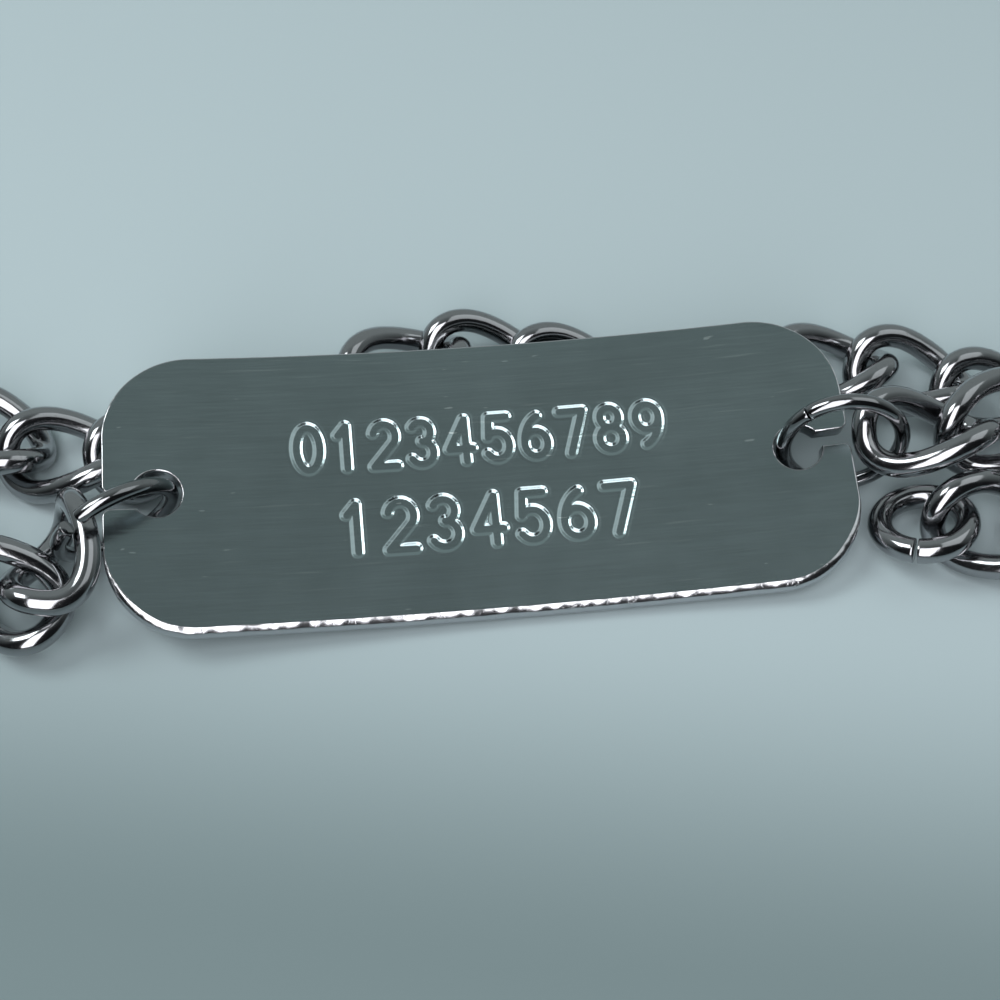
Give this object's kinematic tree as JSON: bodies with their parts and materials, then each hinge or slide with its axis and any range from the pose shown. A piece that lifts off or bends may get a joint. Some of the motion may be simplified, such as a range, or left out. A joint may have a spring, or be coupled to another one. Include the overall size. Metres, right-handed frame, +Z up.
{
  "type": "medical alert bracelet",
  "caption": "Bent metal identity plate with a keyhole at each end, hung by wire jump rings on a heavy twisted curb chain that closes into a loop.",
  "frame": {"origin": "on the table, under the middle of the box round the whole bracelet", "axes": "+X to the right along the plate, +Y away from the viewer, +Z up from the table the bracelet lies on"},
  "size_m": [0.0988, 0.0256, 0.0089],
  "materials": {
    "plate": "brushed",
    "rings": "polished",
    "chain": "polished",
    "clasp": "polished"
  },
  "bodies": {
    "root": {"plate": "plate", "left_ring": "rings", "right_ring": "rings", "end_ring": "chain", "clasp": "clasp", "left_link_01": "chain", "left_link_02": "chain", "long_link_01": "chain", "long_link_02": "chain", "long_link_03": "chain", "long_link_04": "chain", "long_link_05": "chain", "long_link_06": "chain", "long_link_07": "chain", "long_link_08": "chain", "long_link_09": "chain", "long_link_10": "chain", "long_link_11": "chain", "long_link_12": "chain", "long_link_13": "chain", "long_link_14": "chain", "long_link_15": "chain", "long_link_16": "chain", "long_link_17": "chain", "long_link_18": "chain", "long_link_19": "chain", "long_link_20": "chain", "long_link_21": "chain", "long_link_22": "chain", "long_link_23": "chain", "long_link_24": "chain", "long_link_25": "chain", "long_link_26": "chain", "long_link_27": "chain", "right_link_01": "chain", "right_link_02": "chain"}
  },
  "joints": []
}
